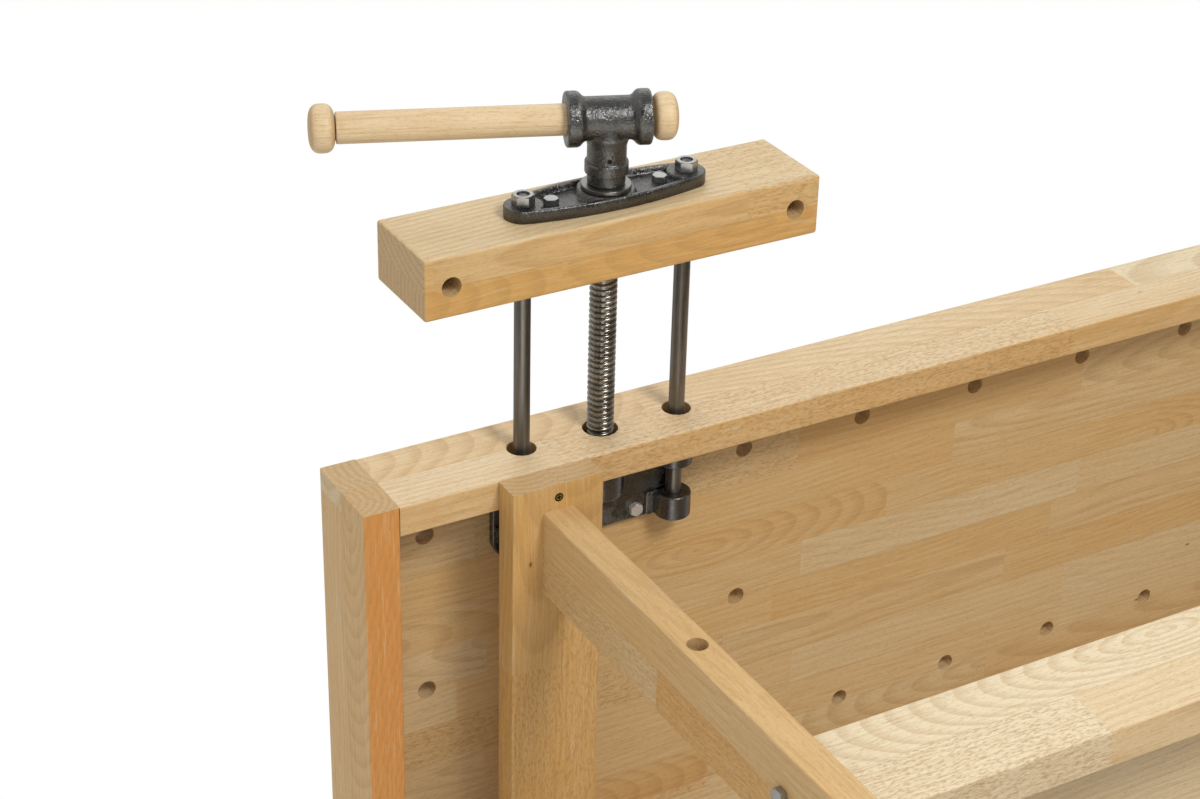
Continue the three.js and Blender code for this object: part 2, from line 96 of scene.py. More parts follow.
# radius in mm of a round node that lies flat
def radiusOf(node):
    low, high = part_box(node)
    return (high.z - low.z) / 2 / mm


def addObject(name, data):
    item = bpy.data.objects.new(name, data)
    bpy.context.scene.collection.objects.link(item)
    return item


# camera: eye measured from the front left corner of the worktop
view = {
    "eye": (-0.7890, -1.2168, -1.8924),
    "turn": (150.135, 29.348, -1.411),
    "lens": 74.955,
    "sensor": 36.0,
    "furthest": 60.0,
}


def setCamera():
    camera = addObject("photo_camera", bpy.data.cameras.new("photo_camera"))
    corner = (leftEnd, frontFace, worktop)
    camera.location = [place + offset for place, offset in zip(corner, view["eye"])]
    camera.rotation_euler = [math.radians(angle) for angle in view["turn"]]
    camera.data.lens = view["lens"]
    camera.data.sensor_width = view["sensor"]
    camera.data.sensor_fit = "HORIZONTAL"
    camera.data.clip_end = view["furthest"]
    bpy.context.scene.camera = camera


# the surroundings are dimmer towards the front and the right, and the backdrop is white; shiny metal
# mirrors a dark room below instead, with one bright card in it; a span is where one fades into the other
studio = {
    "backdrop": (1.0, 1.0, 1.0, 1),
    "rest": (0.68, 0.66, 0.615, 1),
    "front": (0.58, 0.585, 0.575, 1), "frontSpan": (-0.25, 0.9),
    "rightDrop": -0.32,
    "room": 0.12, "roomWay": (0.0, -0.20, -0.98), "roomSpan": (0.0, 0.5),
    "card": 3.2, "cardWay": (-0.26, 0.46, -0.85), "cardSpan": (0.88, 0.96),
}


def setWorld():
    world = bpy.data.worlds.new("studio")
    world.use_nodes = True
    tree = world.node_tree
    way = newNode(tree, "TexCoord").outputs["Generated"]
    front = ranged(tree, partAlong(tree, way, -axes["y"]), *studio["frontSpan"], smooth=True)
    colour = blended(tree, front, studio["rest"], studio["front"])
    right = partAlong(tree, way, axes["x"])
    strength = mathNode(tree, "MULTIPLY_ADD", right, studio["rightDrop"], 1.0)
    path = newNode(tree, "LightPath")
    seen = path.outputs["Is Camera Ray"]
    colour = blended(tree, seen, colour, studio["backdrop"])
    room = ranged(tree, partAlong(tree, way, studio["roomWay"]), *studio["roomSpan"], smooth=True)
    card = ranged(tree, partAlong(tree, way, studio["cardWay"]), *studio["cardSpan"], smooth=True)
    mirrored = between(tree, card, between(tree, room, 1.0, studio["room"]), studio["card"])
    strength = between(tree, path.outputs["Is Glossy Ray"], strength, mirrored)
    strength = between(tree, seen, strength, 1.0)
    fill(tree, tree.nodes["Background"], {"Color": colour, "Strength": strength})
    bpy.context.scene.world = world


# a lamp low in front throws the shadows, a softbox over the front gives the shine, and a fill
# brightens the front without showing in the metal; all point at aim, which is measured from the foot
# of the bench's front left corner
aim = (0.45, 0.0, 0.75)
lamps = {
    "lamp": {
        "way": (0.06, -0.742, -0.668), "away": 3.0, "size": 0.9, "power": 54.0,
        "colour": (1.0, 0.985, 0.95), "shine": True,
    },
    "softbox": {
        "way": (0.437, -0.487, 0.756), "away": 3.0, "size": 1.7, "power": 6.0,
        "colour": (1.0, 0.99, 0.97), "shine": True,
    },
    "fill": {
        "way": (0.0, -0.750, 0.661), "away": 3.0, "size": 1.7, "power": 19.0,
        "colour": (1.0, 0.99, 0.97), "shine": False,
    },
}


def setLamps():
    for name, spec in lamps.items():
        data = bpy.data.lights.new(name, "AREA")
        data.shape = "DISK"
        data.size = spec["size"]
        data.energy = spec["power"]
        data.color = spec["colour"]
        lamp = addObject(name, data)
        way = Vector(spec["way"]).normalized()
        lamp.location = Vector((leftEnd, frontFace, 0.0)) + Vector(aim) + way * spec["away"]
        lamp.rotation_euler = way.to_track_quat("Z", "Y").to_euler()
        lamp.visible_glossy = spec["shine"]


def setLight():
    settings = bpy.context.scene.view_settings
    settings.view_transform = "Standard"
    settings.look = "None"
    setWorld()
    setLamps()


# the floor shows from above only, and lets light through to the underside
ground = {"colour": (0.80, 0.79, 0.77, 1), "roughness": 0.8, "size": 40.0}


def setFloor():
    half = ground["size"] / 2
    corners = [(-half, -half, 0), (half, -half, 0), (half, half, 0), (-half, half, 0)]
    mesh = bpy.data.meshes.new("floor")
    mesh.from_pydata(corners, [], [(0, 1, 2, 3)])
    floor = addObject("floor", mesh)
    finish, tree, shader = newFinish("pale_floor")
    fill(tree, shader, {"Base Color": ground["colour"], "Roughness": ground["roughness"]})
    clear = newNode(tree, "BsdfTransparent")
    seen = newNode(tree, "LightPath").outputs["Is Camera Ray"]
    below = newNode(tree, "NewGeometry").outputs["Backfacing"]
    shown = mathNode(tree, "MULTIPLY", seen, mathNode(tree, "SUBTRACT", 1.0, below))
    mix = newNode(tree, "MixShader", {0: shown, 1: clear.outputs[0], 2: shader.outputs[0]})
    fill(tree, tree.nodes["Material Output"], {"Surface": mix.outputs[0]})
    mesh.materials.append(finish)


# node helpers: fill links or sets a node's inputs, newNode makes a node, and the others give back the
# output of what they make
def fill(tree, node, values):
    for key, value in values.items():
        if isinstance(value, bpy.types.NodeSocket):
            tree.links.new(value, node.inputs[key])
        else:
            node.inputs[key].default_value = value


def newNode(tree, kind, values=None, **settings):
    node = tree.nodes.new("ShaderNode" + kind)
    for key, setting in settings.items():
        setattr(node, key, setting)
    fill(tree, node, values or {})
    return node


def mathNode(tree, operation, *values):
    return newNode(tree, "Math", dict(enumerate(values)), operation=operation).outputs[0]


def vectorNode(tree, operation, *vectors):
    node = newNode(tree, "VectorMath", dict(enumerate(vectors)), operation=operation)
    return node.outputs["Value" if operation in ("DOT_PRODUCT", "LENGTH") else "Vector"]


# how much of a vector runs in a direction
def partAlong(tree, vector, direction):
    return vectorNode(tree, "DOT_PRODUCT", vector, tuple(direction))


def joinAxes(tree, *parts):
    return newNode(tree, "CombineXYZ", dict(enumerate(parts))).outputs[0]


def noise(tree, vector, scale, detail, roughness):
    values = {"Vector": vector, "Scale": scale, "Detail": detail, "Roughness": roughness}
    return newNode(tree, "TexNoise", values).outputs["Fac"]


# three chance numbers for a place, and all three as a colour
def chance(tree, vector):
    colour = newNode(tree, "TexWhiteNoise", {"Vector": vector}).outputs["Color"]
    split = newNode(tree, "SeparateColor", {0: colour})
    return *split.outputs, colour


def ranged(tree, value, low, high, toLow=0.0, toHigh=1.0, smooth=False):
    values = {"Value": value, "From Min": low, "From Max": high, "To Min": toLow, "To Max": toHigh}
    fade = "SMOOTHSTEP" if smooth else "LINEAR"
    return newNode(tree, "MapRange", values, interpolation_type=fade).outputs["Result"]


# a value between two others, by a share from 0 to 1
def between(tree, share, low, high):
    return ranged(tree, share, 0.0, 1.0, low, high)


# a number from 0 to 1 moved to lie about nought
def centred(tree, value):
    return mathNode(tree, "SUBTRACT", value, 0.5)


# inputs 6 and 7 and output 2 are the colours of a mix node
def blended(tree, amount, first, second):
    return newNode(tree, "Mix", {0: amount, 6: first, 7: second}, data_type="RGBA").outputs[2]


# a colour with a tint where a pattern runs from start to full, as strong as power there
def tinted(tree, colour, pattern, span, tint):
    start, full, power = span
    return blended(tree, ranged(tree, pattern, start, full, 0.0, power), colour, tint)


# reads the wear attribute: real wear on most pieces, and on the thread, pin ends and bearer screws also the
# mask of painted shade and painted highlight
def wearAndShadeOf(tree):
    return newNode(tree, "Attribute", attribute_name="wear").outputs["Fac"]


def newFinish(name):
    finish = bpy.data.materials.new(name)
    finish.use_nodes = True
    tree = finish.node_tree
    return finish, tree, tree.nodes["Principled BSDF"]


def bump(tree, height, strength, distance):
    values = {"Height": height, "Strength": strength, "Distance": distance}
    return newNode(tree, "Bump", values).outputs[0]


# beech: glued staves, each with its own tone and figure, end-jointed with fingers
beech = {
    "pale": (0.640, 0.520, 0.330, 1),
    "warm": (0.580, 0.335, 0.108, 1),
    "orange": (0.620, 0.262, 0.064, 1),
    "ring": (0.370, 0.200, 0.068, 1),
    "fibre": (0.400, 0.225, 0.080, 1),
    "fleck": (0.310, 0.150, 0.046, 1),
    "knot": (0.110, 0.050, 0.018, 1),
    "endGrain": (0.510, 0.345, 0.170, 1),
    "endPore": (0.220, 0.120, 0.046, 1),
    "glue": (0.260, 0.150, 0.060, 1),
    "fingerPitch": 0.0042, "fingerLength": 0.009,
    "glueWidth": 0.0004, "gluePower": 0.45,
    "firstLane": 20.0, "laneSeed": 3.7, "staveSeed": 11.3,
    "laneShift": 7.0,  # staves that a lane is shifted by at most
    "logPlace": (3.1, 2.3, 1.7),  # how far apart staves lie in the log
    "sway": 0.030, "ringSway": 0.014,
    # the span of a face's downward look over which it takes the painted warm shade
    "cloudPower": 0.5, "paintedDownShadeSpan": (0.5, 0.8),
    "flatSawn": (0.28, 0.30), "quarterSawn": (0.80, 0.82),  # limits in the draw that decides the figure
    "pithDepth": 0.022, "pithShift": 0.8, "pithLean": 0.55, "quarterPith": 0.14,
    "ringWidth": (0.0055, 0.0100), "ringSpan": (0.25, 0.92), "ringPower": (0.16, 0.30),
    "fleckSpan": (0.50, 0.63), "fleckPower": (0.06, 0.38), "fleckDepth": 0.6,
    "knotScale": 15.0, "knotSqueeze": 0.55,
    "endMix": 0.20, "endRing": 0.22, "endSpan": (0.55, 0.85),
    "roughSpan": (0.2, 0.8), "roughness": (0.40, 0.56),
    "gloss": 0.4,
    "bump": (0.30, 0.0005),
}

# where each pattern starts to show, where it is full, and how strong it is then
woodTints = {
    "darkFibre": (0.50, 0.72, 0.42),
    "paleFibre": (0.48, 0.32, 0.35),
    "pores": (0.54, 0.70, 0.45),
    "knots": (0.035, 0.0105, 0.85),
    "endPores": (0.48, 0.74, 0.5),
}

# squeeze along the stave, scale, detail and roughness of each pattern
woodNoises = {
    "wander": (0.5, 7.0, 2.0, 0.5),
    "cloud": (0.30, 14.0, 2.0, 0.5),
    "fibre": (0.035, 420.0, 4.0, 0.7),
    "pores": (0.22, 800.0, 2.0, 0.6),
    "dashes": (0.28, 560.0, 1.5, 0.5),
    "endPores": (0.30, 850.0, 3.0, 0.6),
}


def woodNoise(tree, vector, kind):
    squeeze, *settings = woodNoises[kind]
    return noise(tree, vectorNode(tree, "MULTIPLY", vector, (squeeze, 1.0, 1.0)), *settings)


# middle is the board's centre, and along, across and through are its own axes; a stave is staveWidth
# wide and staveLength long; pith is how far through from the middle the heart of the log lies; tone
# makes all staves paler or warmer, and spread sets them apart; the setting for down-facing faces paints
# them warmer and darker as painted warm shade; flecks and rings scale the strength of these two figures
def beechFinish(name, middle, pith, along, across, stave, seed, tone=0.0, spread=0.6, paintedDownShade=0.0,
                pale=beech["pale"], flecks=1.0, rings=1.0):
    finish, tree, shader = newFinish(name)
    through = np.cross(along, across)
    staveWidth, staveLength = stave
    place = newNode(tree, "TexCoord")
    normal = place.outputs["Normal"]
    local = vectorNode(tree, "SUBTRACT", place.outputs["Object"], tuple(middle))
    u, v, w = (partAlong(tree, local, way) for way in (along, across, through))

    # which stave and which length of it, with a zigzag where two lengths meet
    zigzag = mathNode(tree, "PINGPONG", w, beech["fingerPitch"] / 2)
    zigzag = mathNode(tree, "MULTIPLY", zigzag, 2 * beech["fingerLength"] / beech["fingerPitch"])
    lane = mathNode(tree, "MULTIPLY_ADD", v, 1 / staveWidth, beech["firstLane"])
    laneNumber = mathNode(tree, "FLOOR", lane)
    acrossLane = centred(tree, mathNode(tree, "FRACT", lane))
    shift = chance(tree, joinAxes(tree, laneNumber, seed, beech["laneSeed"]))[0]
    run = mathNode(tree, "MULTIPLY", mathNode(tree, "ADD", u, zigzag), 1 / staveLength)
    run = mathNode(tree, "MULTIPLY_ADD", shift, beech["laneShift"], run)
    runNumber = mathNode(tree, "FLOOR", run)
    staveNumber = joinAxes(tree, laneNumber, runNumber, seed + beech["staveSeed"])
    toneDraw, figureDraw, placeDraw, draws = chance(tree, staveNumber)

    # the stave's own place in its log, with a slow wander of the grain
    own = vectorNode(tree, "MULTIPLY", draws, beech["logPlace"])
    own = vectorNode(tree, "ADD", joinAxes(tree, u, v, w), own)
    wander = centred(tree, woodNoise(tree, own, "wander"))
    sway = mathNode(tree, "MULTIPLY", wander, beech["sway"])
    swayed = vectorNode(tree, "ADD", own, joinAxes(tree, 0.0, sway, 0.0))
    fibre = woodNoise(tree, swayed, "fibre")
    pores = woodNoise(tree, swayed, "pores")
    dashes = woodNoise(tree, swayed, "dashes")
    cloud = woodNoise(tree, own, "cloud")

    # growth rings: distance from a pith line that leans to the board, so that flat-sawn staves show
    # arches and the others stripes
    flat = ranged(tree, figureDraw, *beech["flatSawn"], 1.0, 0.0)
    sideways = mathNode(tree, "MULTIPLY", centred(tree, placeDraw), staveWidth * beech["pithShift"])
    pithV = between(tree, flat, beech["quarterPith"], sideways)
    pithV = mathNode(tree, "MULTIPLY_ADD", acrossLane, staveWidth, pithV)
    lean = mathNode(tree, "MULTIPLY", centred(tree, toneDraw), beech["pithLean"])
    rise = mathNode(tree, "SUBTRACT", mathNode(tree, "FRACT", run), placeDraw)
    rise = mathNode(tree, "MULTIPLY", rise, staveLength)
    pithW = mathNode(tree, "MULTIPLY_ADD", rise, lean, mathNode(tree, "ADD", w, pith))
    fromPith = vectorNode(tree, "LENGTH", joinAxes(tree, pithV, pithW, 0.0))
    fromPith = mathNode(tree, "MULTIPLY_ADD", wander, beech["ringSway"], fromPith)
    ringWidth = between(tree, placeDraw, *beech["ringWidth"])
    ring = mathNode(tree, "FRACT", mathNode(tree, "DIVIDE", fromPith, ringWidth))
    early, late = beech["ringSpan"]
    darker = ranged(tree, ring, early, late, smooth=True)
    ring = mathNode(tree, "MULTIPLY", darker, ranged(tree, ring, 1.0, late))

    # ray flecks: short dark dashes, strong on quarter-sawn staves
    fleckPower = ranged(tree, figureDraw, *beech["quarterSawn"], *beech["fleckPower"])
    fleckPower = mathNode(tree, "MULTIPLY", fleckPower, flecks)
    fleck = ranged(tree, dashes, *beech["fleckSpan"], smooth=True)
    fleck = mathNode(tree, "MULTIPLY", fleck, fleckPower)

    # a few pin knots
    squeezed = vectorNode(tree, "MULTIPLY", own, (beech["knotSqueeze"], 1.0, 1.0))
    knots = newNode(tree, "TexVoronoi", {"Vector": squeezed, "Scale": beech["knotScale"]})

    warmth = mathNode(tree, "MULTIPLY_ADD", centred(tree, toneDraw), spread, 0.5 + tone)
    warmth = mathNode(tree, "MULTIPLY_ADD", centred(tree, cloud), beech["cloudPower"], warmth)
    # painted shade: faces that look down are painted warmer and darker than the rest of the stave
    if paintedDownShade:
        down = ranged(tree, partAlong(tree, normal, -up), *beech["paintedDownShadeSpan"])
        warmth = mathNode(tree, "MULTIPLY_ADD", down, paintedDownShade, warmth)
    colour = blended(tree, ranged(tree, warmth, 0.0, 1.0), pale, beech["warm"])
    colour = blended(tree, ranged(tree, warmth, 1.0, 2.0), colour, beech["orange"])
    ringPower = between(tree, flat, *(power * rings for power in beech["ringPower"]))
    colour = blended(tree, mathNode(tree, "MULTIPLY", ring, ringPower), colour, beech["ring"])
    colour = tinted(tree, colour, fibre, woodTints["darkFibre"], beech["fibre"])
    colour = tinted(tree, colour, pores, woodTints["pores"], beech["fibre"])
    colour = tinted(tree, colour, fibre, woodTints["paleFibre"], pale)
    colour = blended(tree, fleck, colour, beech["fleck"])
    colour = tinted(tree, colour, knots.outputs["Distance"], woodTints["knots"], beech["knot"])

    # glue lines between staves
    edge = mathNode(tree, "ABSOLUTE", acrossLane)
    glueLine = (0.5 - beech["glueWidth"] / staveWidth, 0.5, beech["gluePower"])
    colour = tinted(tree, colour, edge, glueLine, beech["glue"])

    # end grain where the surface faces along the board
    facing = mathNode(tree, "ABSOLUTE", partAlong(tree, normal, along))
    squeeze, *settings = woodNoises["endPores"]
    endPlace = joinAxes(tree, 0.0, v, mathNode(tree, "MULTIPLY", w, squeeze))
    endPores = noise(tree, endPlace, *settings)
    endRing = mathNode(tree, "MULTIPLY", ring, beech["endRing"] * rings)
    endColour = blended(tree, beech["endMix"], beech["endGrain"], colour)
    endColour = blended(tree, endRing, endColour, beech["endPore"])
    endColour = tinted(tree, endColour, endPores, woodTints["endPores"], beech["endPore"])
    colour = blended(tree, ranged(tree, facing, *beech["endSpan"]), colour, endColour)

    height = mathNode(tree, "MULTIPLY", fleck, beech["fleckDepth"])
    height = mathNode(tree, "SUBTRACT", fibre, height)
    fill(tree, shader, {
        "Base Color": colour,
        "Roughness": ranged(tree, fibre, *beech["roughSpan"], *beech["roughness"]),
        "Specular IOR Level": beech["gloss"],
        "Normal": bump(tree, height, *beech["bump"]),
    })
    return finish


# black lacquer over a casting, rubbed bright on its edges; cast is how rough and dusty it is
iron = {
    "lacquer": (0.009, 0.0085, 0.008, 1),
    "dust": (0.060, 0.055, 0.049, 1),
    "bare": (0.300, 0.285, 0.260, 1),
    "patch": (75.0, 4.0, 0.6), "grit": (420.0, 3.0, 0.6),  # scale, detail and roughness of the noise
    "patchDust": (0.50, 0.80), "gritDust": (0.58, 0.78), "dustPower": 0.5,
    "patchRub": (0.42, 0.62), "gritRub": (0.42, 0.60, 0.15, 0.9),
    "roughSpan": (0.3, 0.7), "roughness": (0.19, 0.38),
    "metal": (0.1, 0.8, 0.0, 0.85),
    "index": 2.0,
    "patchHeight": 1.8, "bump": 0.8, "gritHeight": 0.0009,
}


def ironFinish(name, cast):
    finish, tree, shader = newFinish(name)
    place = newNode(tree, "TexCoord").outputs["Object"]
    patch = noise(tree, place, *iron["patch"])
    grit = noise(tree, place, *iron["grit"])
    rubbed = mathNode(tree, "MULTIPLY", wearAndShadeOf(tree), ranged(tree, patch, *iron["patchRub"]))
    rubbed = mathNode(tree, "MULTIPLY", rubbed, ranged(tree, grit, *iron["gritRub"]))
    dustPower = iron["dustPower"] * cast
    colour = tinted(tree, iron["lacquer"], patch, (*iron["patchDust"], dustPower), iron["dust"])
    colour = tinted(tree, colour, grit, (*iron["gritDust"], dustPower), iron["dust"])
    height = mathNode(tree, "MULTIPLY_ADD", patch, iron["patchHeight"], grit)
    fill(tree, shader, {
        "Base Color": blended(tree, rubbed, colour, iron["bare"]),
        "Roughness": ranged(tree, patch, *iron["roughSpan"], *iron["roughness"]),
        "Metallic": ranged(tree, rubbed, *iron["metal"]),
        "IOR": iron["index"],
        "Normal": bump(tree, height, iron["bump"] * cast, iron["gritHeight"]),
    })
    return finish


# bare metals: rods drawn along their length with painted reflection in their bands, screw thread with
# painted shade in its roots and painted highlight on its crests, zinc plate
metals = {
    "rod": {"light": (0.24, 0.227, 0.212, 1), "dark": (0.052, 0.048, 0.045, 1), "roughness": 0.42},
    "screw": {"light": (0.52, 0.495, 0.455, 1), "dark": (0.030, 0.027, 0.023, 1), "roughness": 0.24},
    "zinc": {"light": (0.50, 0.505, 0.51, 1), "dark": (0.20, 0.20, 0.195, 1), "roughness": 0.26},
    # bolt: a lighter, less metallic copy of zinc for the guide's bolts, whose faces mirror the dark room:
    # painted light
    "bolt": {"light": (0.78, 0.73, 0.69, 1), "dark": (0.46, 0.43, 0.40, 1), "roughness": 0.34, "metal": 0.45},
    "washer": {"light": (0.36, 0.35, 0.33, 1), "dark": (0.12, 0.115, 0.105, 1), "roughness": 0.30},
    # pin: its dark is the near black of collars and cross pins, and on the pin ends the painted shade of a
    # hole
    "pin": {"light": (0.30, 0.29, 0.27, 1), "dark": (0.006, 0.006, 0.006, 1), "roughness": 0.4},
    # brassy: brass screw heads, whose dark is the painted shade of their holes
    "brassy": {"light": (0.46, 0.38, 0.19, 1), "dark": (0.012, 0.010, 0.008, 1), "roughness": 0.35},
}

# what all metals share: scale, detail and roughness of the noises, and how much each one shows
metalGrain = {
    "metal": 0.92,
    # band: scale of the lengthwise bands on drawn rods, partly drawing streaks and partly painted reflection
    "patch": (45.0, 4.0, 0.6), "scratch": (900.0, 3.0, 0.6), "band": (150.0, 2.0, 0.5),
    "span": (0.3, 0.7), "bandSpan": (0.36, 0.64),
    "patchPower": 0.6, "scratchPower": 0.4, "bandPower": 0.8, "underBand": 0.35,
    # crest: how much lighter worn places get, a painted highlight on thread crests
    "drawn": 0.97, "crest": 1.2,
    "smoother": 0.07, "rougher": 0.10,
    "bump": (0.12, 0.0002),
}


# along is the way a metal was drawn; the last setting is how dark the unworn places are, and the crest
# factor makes worn places lighter: on the thread that is rubbed wear with a painted highlight on the crests
# and painted shade in the roots, and on pin ends and bearer screws it paints the shade of their holes
def metalFinish(name, kind, along=None, wearAndShadePower=0.0):
    spec, grain = metals[kind], metalGrain
    finish, tree, shader = newFinish(name)
    place = newNode(tree, "TexCoord").outputs["Object"]
    drawn = place
    if along is not None:
        squeeze = np.ones(3) - grain["drawn"] * np.abs(along)
        drawn = vectorNode(tree, "MULTIPLY", place, tuple(squeeze))
    patch = noise(tree, place, *grain["patch"])
    scratch = noise(tree, drawn, *grain["scratch"])
    shade = ranged(tree, scratch, *grain["span"], 0.0, grain["scratchPower"])
    shade = mathNode(tree, "MULTIPLY_ADD", ranged(tree, patch, *grain["span"]), grain["patchPower"], shade)
    # drawn rods: lengthwise light and dark bands, drawing streaks made strong as a painted reflection of
    # brighter and darker surroundings
    if along is not None:
        band = ranged(tree, noise(tree, drawn, *grain["band"]), *grain["bandSpan"])
        shade = mathNode(tree, "MULTIPLY", shade, grain["underBand"])
        shade = mathNode(tree, "MULTIPLY_ADD", band, grain["bandPower"], shade)
    # painted shade where the wear is nought: thread roots, pin holes and bearer screw holes; worn places go
    # lighter, a painted highlight on thread crests
    if wearAndShadePower:
        wearShadeFactor = between(tree, wearAndShadeOf(tree), 1.0 - wearAndShadePower, grain["crest"])
        shade = mathNode(tree, "MULTIPLY", shade, wearShadeFactor)
    smoothest, roughest = spec["roughness"] - grain["smoother"], spec["roughness"] + grain["rougher"]
    fill(tree, shader, {
        "Base Color": blended(tree, ranged(tree, shade, 0.0, 1.0), spec["dark"], spec["light"]),
        "Metallic": spec.get("metal", grain["metal"]),
        "Roughness": ranged(tree, patch, *grain["span"], smoothest, roughest),
        "Normal": bump(tree, scratch, *grain["bump"]),
    })
    return finish


# puts a shell of points, faces and wear into a mesh, which rides with a node's body and may take the
# node's place; on the thread, pin ends and bearer screws the wear also marks painted shade and painted
# highlight; the faces are turned round if the closed shape is inside out
def putPiece(name, shell, finish, node, replaces=True):
    points, faces, wear = shell
    triangles = np.concatenate([faces[:, [0, 1, 2]], faces[:, [0, 2, 3]]])
    corners = points[triangles]
    volume = np.einsum("ij,ij->i", corners[:, 0], np.cross(corners[:, 1], corners[:, 2])).sum()
    if volume < 0:
        faces = faces[:, ::-1]
    mesh = bpy.data.meshes.new(name)
    sides = [tuple(dict.fromkeys(face)) for face in faces.tolist()]
    mesh.from_pydata(points.tolist(), [], [side for side in sides if len(side) > 2])
    mesh.polygons.foreach_set("use_smooth", np.ones(len(mesh.polygons), dtype=bool))
    layer = mesh.attributes.new("wear", "FLOAT", "POINT")
    layer.data.foreach_set("value", np.asarray(wear, dtype=np.float32).ravel())
    mesh.materials.append(finish)
    piece = addObject(name, mesh)
    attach(piece, nodes[node]["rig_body"])
    if replaces:
        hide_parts(node)


# several closed shells as one
def gathered(shells):
    counts = np.cumsum([0] + [len(shell[0]) for shell in shells])
    points = np.concatenate([shell[0] for shell in shells])
    faces = np.concatenate([shell[1] + start for shell, start in zip(shells, counts)])
    wear = np.concatenate([shell[2] for shell in shells])
    return points, faces, wear


# quads between neighbouring rows and columns of a grid of numbered points
def gridFaces(numbers):
    corners = [numbers[:-1, :-1], numbers[1:, :-1], numbers[1:, 1:], numbers[:-1, 1:]]
    return np.stack(corners, axis=-1).reshape(-1, 4)


# numbers for a grid of points, row by row; a pole row shares one point; the first column comes again
# at the end, and so does the first row of a ring
def gridNumbers(rows, columns, firstPole=False, lastPole=False, ring=False):
    numbers = np.arange(rows * columns).reshape(rows, columns)
    if firstPole:
        numbers[0] = numbers[0, 0]
    if lastPole:
        numbers[-1] = numbers[-1, 0]
    numbers = np.concatenate([numbers, numbers[:, :1]], axis=1)
    return np.concatenate([numbers, numbers[:1]], axis=0) if ring else numbers


cornerRoom = 0.42  # share of a side that one rounded corner may take
guardReach = 1.15  # place of the point that keeps a flat side flat, in corner radii


# a polyline with each inner corner replaced by an arc: a quadratic curve from a point before the
# corner to one after it, pulled to the corner, with a close point on both sides to keep flats flat;
# wear is highest in the middle of corners that turn left, which is outwards for a profile run upwards
def roundedLine(corners, radius, steps=5, closed=False):
    corners = np.asarray(corners, dtype=float)
    before = np.roll(corners, 1, axis=0)
    after = np.roll(corners, -1, axis=0)
    backLength = np.linalg.norm(before - corners, axis=1, keepdims=True)
    nextLength = np.linalg.norm(after - corners, axis=1, keepdims=True)
    backWay = (before - corners) / backLength
    nextWay = (after - corners) / nextLength
    room = np.minimum(np.minimum(backLength, nextLength) * cornerRoom, radius)
    share = np.linspace(0, 1, steps)[None, :, None]
    first = (corners + backWay * room)[:, None]
    last = (corners + nextWay * room)[:, None]
    arc = first * (1 - share) ** 2 + corners[:, None] * 2 * share * (1 - share) + last * share ** 2
    guardBack = (corners + backWay * room * guardReach)[:, None]
    guardNext = (corners + nextWay * room * guardReach)[:, None]
    turn = nextWay[:, 0] * backWay[:, 1] - nextWay[:, 1] * backWay[:, 0]
    arcWear = np.clip(turn, 0, 1)[:, None] * (4 * share[..., 0] * (1 - share[..., 0]))
    line = np.concatenate([guardBack, arc, guardNext], axis=1)
    wear = np.pad(arcWear, ((0, 0), (1, 1)))
    if closed:
        return line.reshape(-1, 2), wear.ravel()
    inner = line[1:-1].reshape(-1, 2)
    line = np.concatenate([corners[:1], inner, corners[-1:]])
    return line, np.concatenate([[0], wear[1:-1].ravel(), [0]])


# two directions square to an axis, so that first x second = axis
def squareTo(axis, hint):
    first = hint - axis * np.dot(hint, axis)
    first = first / np.linalg.norm(first)
    return first, np.cross(axis, first)


# directions round an axis: cosine of the angle times the first square direction, sine times the second
def roundWays(axis, hint, angle):
    first, second = squareTo(axis, hint)
    return np.cos(angle)[:, None] * first + np.sin(angle)[:, None] * second


# a turned shape: each profile point (radius, height) runs once round the axis through the base;
# ends that lie on the axis become poles, and a closed profile makes a ring
def turnedShell(profile, wear, base, axis, hint, sides=96, closed=False):
    around = roundWays(axis, hint, np.linspace(0, 2 * np.pi, sides, endpoint=False))
    profile = profile * mm
    points = base + profile[:, 1, None, None] * axis + profile[:, 0, None, None] * around[None]
    firstPole, lastPole = profile[[0, -1], 0] < 1e-9
    numbers = gridNumbers(len(profile), sides, firstPole, lastPole, ring=closed)
    return points.reshape(-1, 3), gridFaces(numbers), np.repeat(wear, sides)


# one tooth of the thread: its height and its place, as shares of the thread's depth and pitch
tooth = {
    "height": (0.0, 0.0, 0.55, 1.0, 1.0, 1.0, 0.45, 0.0),
    "place": (0.0, 0.17, 0.27, 0.37, 0.50, 0.63, 0.73, 0.85),
    "fade": 0.6,  # pitches from either end over which the thread runs out
}


# a screw thread: row i of the grid follows one helix line, a pitch high in one turn, at the radius
# that the trapezium profile has there; both ends are cut square and fade to the root radius
def threadShell(length, pitch, crest, root, base, axis, hint, sides=60):
    turns = int(math.ceil(length / pitch)) + 2
    rise = (np.arange(turns)[:, None] + np.array(tooth["place"])).ravel() * pitch
    depth = np.tile(tooth["height"], turns)[:, None]
    angle = np.linspace(0, 2 * np.pi, sides + 1)
    height = np.clip(rise[:, None] + pitch * (angle[None, :] / (2 * np.pi) - 1.0), 0, length)
    fade = np.clip(np.minimum(height, length - height) / (tooth["fade"] * pitch), 0, 1)
    radius = root + (crest - root) * depth * fade
    around = roundWays(axis, hint, angle)
    points = base + (height * mm)[..., None] * axis + (radius * mm)[..., None] * around[None]
    numbers = np.arange(height.size).reshape(height.shape)
    stepUp = len(tooth["place"])
    numbers[:-stepUp, -1] = numbers[stepUp:, 0]
    numbers[-stepUp:, -1] = numbers[-1, 0]
    return points.reshape(-1, 3), gridFaces(numbers), (depth * fade).ravel()


